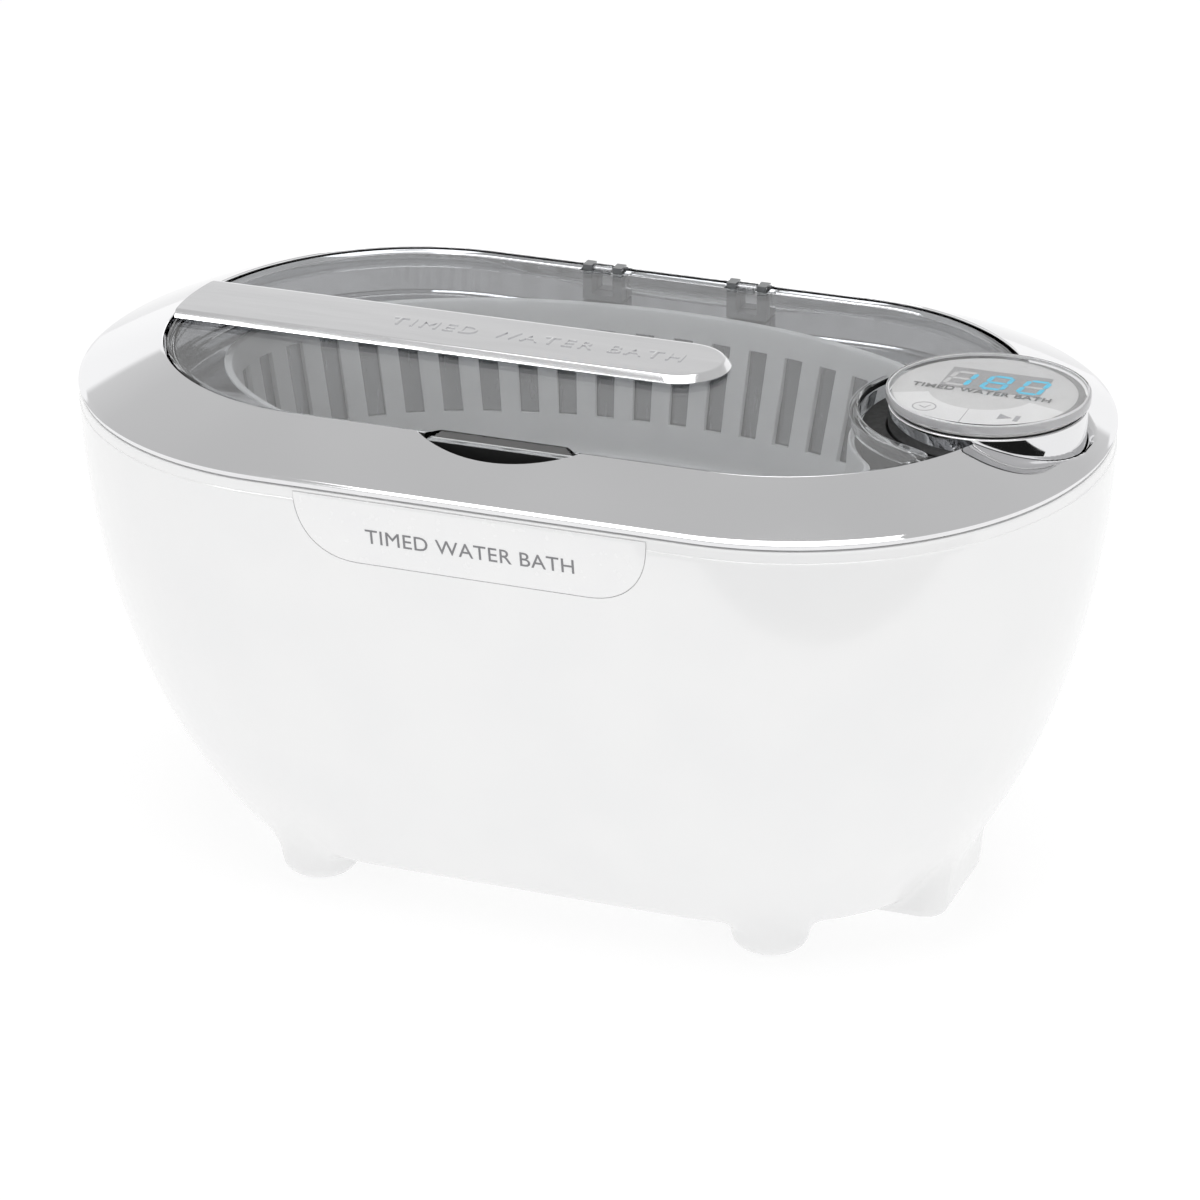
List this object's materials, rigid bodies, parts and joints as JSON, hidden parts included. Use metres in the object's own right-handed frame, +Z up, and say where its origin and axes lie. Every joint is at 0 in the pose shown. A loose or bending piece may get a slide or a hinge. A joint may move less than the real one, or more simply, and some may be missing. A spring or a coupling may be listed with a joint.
{
  "type": "ultrasonic cleaner",
  "caption": "Bench-top ultrasonic jewellery cleaner: oval tank, slotted basket, hinged clear lid with a bright strip, chrome bezel, round display head, and feet.",
  "frame": {"origin": "centre of the bounding box in plan, on the plane that the four foot pads stand on", "axes": "+X to the right towards the display head, +Y to the back towards the lid's hinges, +Z up"},
  "size_m": [0.23, 0.1464, 0.1231],
  "materials": {
    "housing_white": "gloss white moulded ABS",
    "label_white": "pearl white film under clear acrylic, grey print",
    "silicone_grey": "soft matt silicone",
    "screw_steel": "zinc-plated steel",
    "black_plastic": "fine matt black",
    "bezel_chrome": "bright chrome plating on ABS",
    "hinge_grey": "polished smoke-grey plastic",
    "tank_steel": "drawn and polished stainless steel",
    "aluminium": "machined aluminium",
    "piezo_ceramic": "fired piezo ceramic",
    "copper": "bare copper sheet",
    "board_green": "green solder mask on glass-fibre board",
    "component_dark": "sleeved and moulded components",
    "component_amber": "dipped film capacitor",
    "wire_red": "soft insulated hook-up wire",
    "led_grey": "grey display module with pale cyan segments",
    "face_print": "light grey and white back-printed face",
    "clear_acrylic": "polished clear acrylic",
    "smoke_clear": "smoke-tinted clear polycarbonate",
    "strip_satin": "satin-top strip with bright bevelled edges",
    "basket_white": "semi-gloss white polypropylene"
  },
  "bodies": {
    "base": {"lower_housing": "housing_white", "nameplate": "label_white", "foot_pad_front_left": "silicone_grey", "foot_pad_front_right": "silicone_grey", "foot_pad_rear_left": "silicone_grey", "foot_pad_rear_right": "silicone_grey", "base_plate": "housing_white", "base_screw_front_left": "screw_steel", "base_screw_front_right": "screw_steel", "base_screw_rear_left": "screw_steel", "base_screw_rear_right": "screw_steel", "power_inlet": "black_plastic", "top_bezel": "bezel_chrome", "top_frame": "black_plastic", "frame_screw_front_left": "screw_steel", "frame_screw_front_right": "screw_steel", "frame_screw_rear_left": "screw_steel", "frame_screw_rear_right": "screw_steel", "tank": "tank_steel", "tank_gasket": "silicone_grey", "transducer_horn": "aluminium", "piezo_ring_upper": "piezo_ceramic", "piezo_ring_lower": "piezo_ceramic", "electrode_tab": "copper", "transducer_back_mass": "screw_steel", "transducer_bolt": "screw_steel", "power_board": "board_green", "board_screw_front_left": "screw_steel", "board_screw_front_right": "screw_steel", "board_screw_rear_left": "screw_steel", "board_screw_rear_right": "screw_steel", "board_transformer": "component_dark", "board_capacitor_main": "component_dark", "board_capacitor_film": "component_amber", "board_heat_sink": "aluminium", "board_fuse": "screw_steel", "inlet_lead": "wire_red", "transducer_lead": "wire_red", "display_lead": "wire_red", "display_cup": "bezel_chrome", "display_board": "board_green", "led_module": "led_grey", "face_plate": "face_print", "display_lens": "clear_acrylic", "hinge_bracket_left": "hinge_grey", "hinge_bracket_right": "hinge_grey", "hinge_pin_left": "screw_steel", "hinge_pin_right": "screw_steel"},
    "lid": {"lid_shell": "smoke_clear", "lid_rim": "smoke_clear", "lid_rim_rear": "smoke_clear", "lid_strip": "strip_satin"},
    "basket": {"basket": "basket_white"}
  },
  "joints": [
    {"name": "lid_hinge", "type": "hinge", "parent": "base", "child": "lid", "pos_m": [0, 0.0533, 0.1183], "axis": [-1, 0, 0], "range_deg": [0, 100]},
    {"name": "basket_lift", "type": "slide", "parent": "base", "child": "basket", "axis": [0, 0, 1], "range_m": [0, 0.003]}
  ]
}
